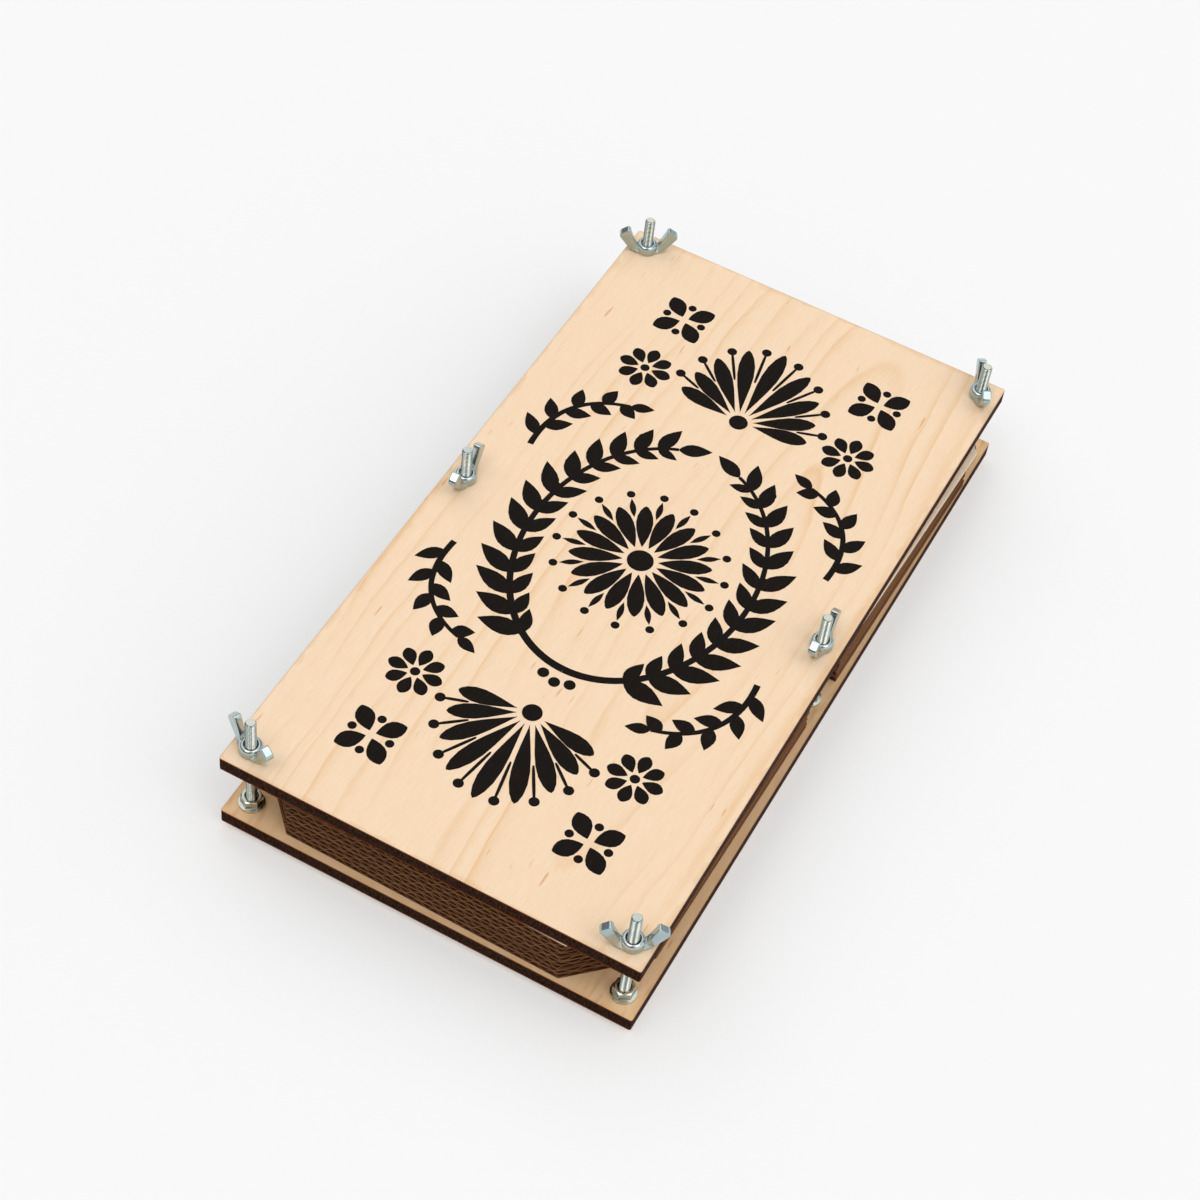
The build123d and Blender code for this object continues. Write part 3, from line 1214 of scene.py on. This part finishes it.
@dataclass(frozen=True)
class Blade:
    """A petal, leaf or dot: how pointed it is, where it is widest, its sizes, and how far out its root is."""

    fullness: float
    lean: float
    length: float
    half_width: float
    root: float = 0.0
    steps: int = 10
    blunt: float = 0.02
    circle: bool = False

    def strip(self) -> np.ndarray:
        """The outline with a length and half width of one, as steps by its left and right edge by two.

        A blade's half width is a sine of the share of the length raised to lean, the sine raised to fullness.
        A circle's is the sine of the way round.
        """
        way = np.linspace(0.0, math.pi, self.steps)
        along = (1.0 - np.cos(way)) / 2.0
        half = np.sin(way) if self.circle else np.sin(math.pi * along**self.lean) ** self.fullness
        half = np.maximum(half, self.blunt)
        return np.stack([np.stack([along, side], axis=-1) for side in (half, -half)], axis=1)

    def copies(self, at: np.ndarray, angle: Any, length: Any = None, half_width: Any = None) -> np.ndarray:
        """Copies that are stretched, turned and moved.

        Args:
            at: Root of each copy.
            angle: Direction of each copy, in radians.
            length: Length of each copy, if not the blade's own.
            half_width: Half width of each copy, if not the blade's own.

        Returns:
            Copies by steps by two edges by two.
        """
        length = self.length if length is None else length
        half_width = self.half_width if half_width is None else half_width
        turn, long, wide = (np.broadcast_to(v, len(at))[:, None, None] for v in (angle, length, half_width))
        strip = self.strip()[None]
        x, y = strip[..., 0] * long, strip[..., 1] * wide
        c, s = np.cos(turn), np.sin(turn)
        return np.stack([c * x - s * y, s * x + c * y], axis=-1) + at[:, None, None, :]

    def star(self, middle: Any, angle: np.ndarray) -> np.ndarray:
        """Copies that point away from a middle at the given angles."""
        return self.copies(np.asarray(middle) + self.root * unit(angle), angle)


def dots(at: Any, radius: float) -> np.ndarray:
    """Round dots with their middles at the given places."""
    disc = Blade(1.0, 1.0, 2.0 * radius, radius, steps=13, blunt=0.05, circle=True)
    return disc.copies(np.asarray(at, float) - [radius, 0.0], 0.0)


def stem(path: np.ndarray, half_width: Pair) -> np.ndarray:
    """A stroke along a path, whose half width goes evenly from the first to the second one given."""
    run = np.gradient(path, axis=0)
    left = np.stack([-run[:, 1], run[:, 0]], axis=-1) / np.linalg.norm(run, axis=1)[:, None]
    offset = left * np.linspace(*half_width, len(path))[:, None]
    return np.stack([path + offset, path - offset], axis=1)[None]


@dataclass
class PrintedOrnament:
    """A generic printed ornament on the top board: a medallion in a leafy wreath between two palmettes."""

    relief: float = 0.05
    sunk: float = 0.04
    lift: float = 0.004
    crease: float = 30.0
    petal_count: int = 16
    petal: Blade = Blade(0.62, 1.35, 19.5, 3.15, root=6.6)
    thorn: Blade = Blade(1.1, 1.0, 9.0, 1.2, root=20.5)
    ring_dots: Pair = (31.6, 1.6)
    medallion_eye: float = 4.9
    wreath: Pair = (43.0, 58.0)
    branch: Pair = (-0.5, 0.405)
    branch_half: Pair = (1.5, 0.7)
    branch_steps: int = 60
    wreath_leaves: int = 13
    leaves_span: Pair = (-0.345, 0.35)
    leaf_angle: float = 0.72
    leaf_sway: float = 0.06
    leaf_taper: Pair = (1.05, 0.8)
    inner_taper: Pair = (0.7, 0.3)
    inner_span: Pair = (0.1, 0.9)
    outer_leaf: Blade = Blade(0.95, 0.8, 16.5, 3.7)
    inner_leaf: Blade = Blade(0.95, 0.8, 13.5, 3.1)
    tip_leaf: Blade = Blade(0.95, 0.8, 12.5, 3.0)
    stalk: Blade = Blade(0.2, 1.0, 5.0, 0.6)
    berries: Pair = (6.2, 1.7)
    knot: tuple[Pair, ...] = ((0.0, -64.5), (-5.2, -62.8), (5.2, -62.8))
    knot_radius: float = 2.1
    seed: int = 11
    palmette_y: float = 80.0
    palmette_eye: float = 3.6
    fan_spread: float = 80.0
    fan_count: int = 9
    fan: Blade = Blade(0.6, 1.7, 36.0, 3.3, root=5.5)
    fan_fall: Pair = (15.0, 1.5)
    pin: Blade = Blade(0.2, 1.0, 11.5, 0.6, root=22.0)
    pin_reach: Pair = (6.0, 0.62)
    pin_heads: Pair = (12.0, 1.9)
    rosette_at: Pair = (43.0, 86.0)
    rosette: Blade = Blade(0.6, 1.4, 7.8, 2.5, root=2.8)
    rosette_eye: float = 1.8
    corner_at: Pair = (42.0, 117.0)
    corner: Blade = Blade(0.7, 1.2, 11.0, 3.5, root=1.8)
    beads: Pair = (7.4, 1.6)
    sprig: tuple[Pair, ...] = ((61.0, 28.0), (63.0, 46.0), (56.0, 60.0), (38.0, 65.0))
    sprig_half: Pair = (1.2, 0.7)
    sprig_steps: int = 30
    sprig_leaves: int = 8
    sprig_picks: tuple[int, int] = (3, 27)
    sprig_angle: float = 0.8
    sprig_lengths: Pair = (11.5, 8.5)
    sprig_leaf: Blade = Blade(0.95, 0.8, 10.0, 2.7)
    sprig_tip: Blade = Blade(0.95, 0.8, 9.0, 2.3)

    def slab(self, strips: np.ndarray, level: float, lift: float) -> np.ndarray:
        """Rings of four points that give flat strips a thickness from just under the face to just over it.

        Args:
            strips: Copies by steps by two edges by two.
            level: Height of the board's face.
            lift: How much the strip's top stands above the least relief, so that crossing strips stay apart.

        Returns:
            Rings for Shells.sweep().
        """
        low = np.full(strips.shape[:2], level - self.sunk)
        high = np.full(strips.shape[:2], level + self.relief + lift)
        left, right = strips[:, :, 0], strips[:, :, 1]
        corners = [(left, low), (left, high), (right, high), (right, low)]
        return np.stack([np.concatenate([edge, z[..., None]], axis=-1) for edge, z in corners], axis=2)

    @staticmethod
    def mirrored(strips: np.ndarray, x: float, y: float) -> np.ndarray:
        """Strips with their X and Y times 1 or -1, and with their edges kept in order."""
        return (strips * [x, y])[:, :, :: int(x * y)]

    def build_medallion(self) -> list[np.ndarray]:
        """The rosette in the middle, with a ring of dots round it."""
        angle = even_angles(self.petal_count)
        between = angle + math.pi / self.petal_count
        far, radius = self.ring_dots
        ring, eye = dots(far * unit(between), radius), dots(np.zeros((1, 2)), self.medallion_eye)
        return [self.petal.star((0.0, 0.0), angle), self.thorn.star((0.0, 0.0), between), ring, eye]

    def build_wreath(self) -> list[np.ndarray]:
        """Two leafy branches that bend along an ellipse, mirrored, with leaf pairs and berries."""
        size = np.array(self.wreath)
        path = size * unit(np.linspace(*self.branch, self.branch_steps) * math.pi)
        at = np.linspace(*self.leaves_span, self.wreath_leaves) * math.pi
        root = size * unit(at)
        heading = np.arctan2(size[1] * np.cos(at), -size[0] * np.sin(at))
        jitter = np.random.default_rng(self.seed).uniform(-1.0, 1.0, (3, self.wreath_leaves))
        taper = np.linspace(*self.leaf_taper, self.wreath_leaves)
        waist = np.sin(np.linspace(*self.inner_span, self.wreath_leaves) * math.pi)
        inner_taper = taper * (self.inner_taper[0] + self.inner_taper[1] * waist)
        leaves = [
            leaf.copies(root, heading + turn, (leaf.length + jitter[1]) * scale, leaf.half_width * scale)
            for leaf, turn, scale in (
                (self.outer_leaf, self.leaf_sway * jitter[0] - self.leaf_angle, taper),
                (self.inner_leaf, self.leaf_sway * jitter[2] + self.leaf_angle, inner_taper),
            )
        ]
        tip = self.tip_leaf.copies(path[-1:], np.arctan2(*(path[-1] - path[-3])[::-1])[None])
        mid = (at[1:] + at[:-1]) / 2
        out = unit(mid) / size
        out /= np.linalg.norm(out, axis=1)[:, None]
        stalks = self.stalk.copies(size * unit(mid), np.arctan2(out[:, 1], out[:, 0]))
        berries = dots(size * unit(mid) + self.berries[0] * out, self.berries[1])
        half = [stem(path, self.branch_half), *leaves, tip, stalks, berries]
        other = [self.mirrored(strips, -1.0, 1.0) for strips in half]
        return half + other + [dots(self.knot, self.knot_radius)]

    def build_palmettes(self) -> list[np.ndarray]:
        """A fan of blades at each end of the board, over a row of dots."""
        middle = np.array([0.0, self.palmette_y])
        turn = np.radians(np.linspace(-self.fan_spread, self.fan_spread, self.fan_count))
        fall, power = self.fan_fall
        length = self.fan.length - fall * np.abs(np.sin(turn)) ** power
        blade_angle = math.pi / 2 - turn
        fan = self.fan.copies(middle + self.fan.root * unit(blade_angle), blade_angle, length)
        pin_angle = math.pi / 2 - (turn[1:] + turn[:-1]) / 2
        away = unit(pin_angle)
        far = self.pin_reach[0] + self.pin_reach[1] * (length[1:] + length[:-1]) / 2
        root = middle + self.pin.root * away
        pins = self.pin.copies(root, pin_angle, far - self.pin.root + self.pin.length)
        heads = dots(away * (far + self.pin_heads[0])[:, None] + middle, self.pin_heads[1])
        both = [fan, pins, heads, dots([middle], self.palmette_eye)]
        return both + [self.mirrored(strips, -1.0, -1.0) for strips in both]

    def build_corners(self) -> list[np.ndarray]:
        """Small rosettes, four-leaved corner pieces and bent sprigs, once in every quarter."""
        eight = even_angles(8)
        rosette, eye = self.rosette.star(self.rosette_at, eight), dots([self.rosette_at], self.rosette_eye)
        leaves = self.corner.star(self.corner_at, even_angles(4, 0.5))
        far, radius = self.beads
        beads = dots(np.array(self.corner_at) + far * np.roll(unit(eight)[::2], 1, axis=0), radius)
        share = np.linspace(0.0, 1.0, self.sprig_steps)[:, None]
        bezier = [(1 - share) ** 3, 3 * share * (1 - share) ** 2, 3 * share**2 * (1 - share), share**3]
        path = sum(weight * np.array(knot) for weight, knot in zip(bezier, self.sprig))
        pick = np.linspace(*self.sprig_picks, self.sprig_leaves).astype(int)
        run = np.gradient(path, axis=0)[pick]
        heading = np.arctan2(run[:, 1], run[:, 0])
        side = np.where(np.arange(self.sprig_leaves) % 2, self.sprig_angle, -self.sprig_angle)
        lengths = np.linspace(*self.sprig_lengths, self.sprig_leaves)
        sprig = self.sprig_leaf.copies(path[pick], heading + side, lengths)
        end = self.sprig_tip.copies(path[-1:], heading[-1:])
        once = (rosette, eye, leaves, beads, stem(path, self.sprig_half), sprig, end)
        quarters = [(x, y) for x in (1.0, -1.0) for y in (1.0, -1.0)]
        return [np.concatenate([self.mirrored(strips, *quarter) for quarter in quarters]) for strips in once]

    def build(self) -> None:
        """Builds each group of the ornament as its own piece on the top board."""
        ink = ScreenInk().material()
        level = node_box("top_board")[1][2]
        groups: dict[str, Callable[[], list[np.ndarray]]] = {
            "printed_medallion": self.build_medallion,
            "printed_wreath": self.build_wreath,
            "printed_palmettes": self.build_palmettes,
            "printed_corners": self.build_corners,
        }
        for name, motif in groups.items():
            shells = Shells()
            for order, strips in enumerate(motif()):
                shells.sweep(self.slab(strips, level, self.lift * order))
            finish_piece(name, mesh_of(name, shells, self.crease), ink, "top_board")


@dataclass(frozen=True)
class Softbox:
    """A bright patch of the sky: its direction, the cosines where it starts and is full, and its strength."""

    towards: Triple
    edge: Pair
    strength: float

    def glow(self, tree: Tree, ray: Socket) -> Socket:
        """The patch's light along a ray, which rises smoothly with the cosine between the two directions.

        Args:
            tree: The world's node tree.
            ray: The socket with the direction of the ray.

        Returns:
            The socket with the strength of the light.
        """
        axis = Vector(self.towards).normalized()
        cosine = add(tree, "VectorMath", ray, axis, operation="DOT_PRODUCT", out="Value")
        return add(tree, "MapRange", cosine, *self.edge, 0.0, self.strength, **SMOOTH)


@dataclass
class Studio:
    """Floor, light and camera."""

    floor_half: float = 40.0
    floor_colour: str = "#f8f8f8"
    floor_glow: float = 0.32
    floor_roughness: float = 0.9
    floor_specular: float = 0.1
    walls: float = 0.19
    overhead: Softbox = Softbox((-0.28, 0.2, 0.94), (0.62, 0.8), 0.97)
    right_wall: Softbox = Softbox((1.0, 0.0, 0.0), (0.2, 0.9), 0.9)
    front_box: Softbox = Softbox((-0.15, -0.5, 0.85), (0.95, 0.985), 2.0)
    right_box: Softbox = Softbox((0.52, -0.09, 0.85), (0.94, 0.985), 1.8)
    backdrop: Softbox = Softbox((0.0, 0.0, -1.0), (-0.3, -0.1), 0.96)
    focal_pixels: float = 2726.9
    frame_pixels: float = 1200.0
    sensor: float = 36.0
    clip: Pair = (0.01, 200.0)
    azimuth: float = 21.891
    elevation: float = 50.731
    roll: float = 8.108
    eye: Triple = (224.5, -591.8, 788.1)

    @staticmethod
    def seen(tree: Tree) -> Socket:
        """Tells the rays of the camera, and those that metal and glass send on, from those that give light.

        Args:
            tree: The node tree to add to.

        Returns:
            The socket that is 1 for those rays and 0 for the others.
        """
        glossy = add(tree, "LightPath", out="Is Glossy Ray")
        path = glossy.node.outputs
        sent_on = add(tree, "Math", glossy, path["Is Transmission Ray"], operation="MAXIMUM")
        return add(tree, "Math", path["Is Camera Ray"], sent_on, operation="MAXIMUM")

    def floor(self) -> None:
        """A pale matt floor that carries the object's shadow, with a share of glow where it is seen."""
        material, tree, shader = blank_material("pale_paper_floor")
        surface = {
            "Base Color": self.floor_colour,
            "Roughness": self.floor_roughness,
            "Specular IOR Level": self.floor_specular,
        }
        feed(shader, surface)
        glow = add(tree, "Emission", self.floor_colour, 1.0)
        share = add(tree, "Math", self.seen(tree), self.floor_glow, operation="MULTIPLY")
        mix = add(tree, "MixShader", share, shader.outputs[0], glow)
        feed(tree.nodes["Material Output"], {"Surface": mix})
        corners = self.floor_half * np.array([(-1, -1, 0), (1, -1, 0), (1, 1, 0), (-1, 1, 0)])
        mesh = bpy.data.meshes.new("floor")
        mesh.from_pydata(corners, [], [(0, 1, 2, 3)])
        mesh.materials.append(material)
        floor = bpy.data.objects.new("floor", mesh)
        bpy.context.scene.collection.objects.link(floor)

    def lights(self) -> None:
        """A studio sky: dim walls and softboxes; to the eye, walls near the horizon are pale as the floor."""
        world = bpy.data.worlds.new("studio")
        world.use_nodes = True
        tree = world.node_tree
        towards = add(tree, "TexCoord", out="Generated")
        light: Any = self.walls
        for box in (self.overhead, self.right_wall, self.front_box, self.right_box):
            light = add(tree, "Math", light, box.glow(tree, towards), operation="ADD")
        shown = add(tree, "Math", self.backdrop.glow(tree, towards), self.seen(tree), operation="MULTIPLY")
        whole = add(tree, "Math", light, shown, operation="MAXIMUM")
        feed(tree.nodes["Background"], {"Color": (1.0, 1.0, 1.0, 1.0), "Strength": whole})
        bpy.context.scene.world = world

    def camera(self) -> None:
        """The camera at the solved viewpoint, with axes from azimuth, elevation and roll about its sight."""
        azimuth, elevation, roll = (math.radians(a) for a in (self.azimuth, self.elevation, self.roll))
        level = math.cos(elevation)
        back = Vector((math.sin(azimuth) * level, -math.cos(azimuth) * level, math.sin(elevation)))
        right = Vector((math.cos(azimuth), math.sin(azimuth), 0.0))
        up = back.cross(right)
        x_axis = math.cos(roll) * right + math.sin(roll) * up
        y_axis = math.cos(roll) * up - math.sin(roll) * right
        data = bpy.data.cameras.new("camera")
        data.sensor_width = self.sensor
        data.lens = self.focal_pixels * self.sensor / self.frame_pixels
        data.clip_start, data.clip_end = self.clip
        camera = bpy.data.objects.new("camera", data)
        turn = Matrix((x_axis, y_axis, back)).transposed().to_4x4()
        camera.matrix_world = Matrix.Translation(Vector(self.eye) * MM) @ turn
        bpy.context.scene.collection.objects.link(camera)
        bpy.context.scene.camera = camera

    def build(self) -> None:
        """Sets up the whole studio."""
        bpy.context.scene.view_settings.view_transform = "Standard"
        self.floor()
        self.lights()
        self.camera()


def main() -> None:
    """Builds the press piece by piece."""
    logging.basicConfig(level=logging.INFO, format="%(message)s")
    Boards().dress()
    zinc = BrightZinc().material()
    straw_zinc = BrightZinc(name="straw_zinc_plated_steel", cool="#b9c3be", straw="#cecdbf").material()
    for station in Station:
        Bolt().build(station, straw_zinc)
        FlangeNut().build(station, straw_zinc)
        WingNut().build(station, zinc)
    SheetStack().build()
    PrintedOrnament().build()
    Studio().build()
    bpy.context.view_layer.update()


if __name__ == "__main__":
    main()
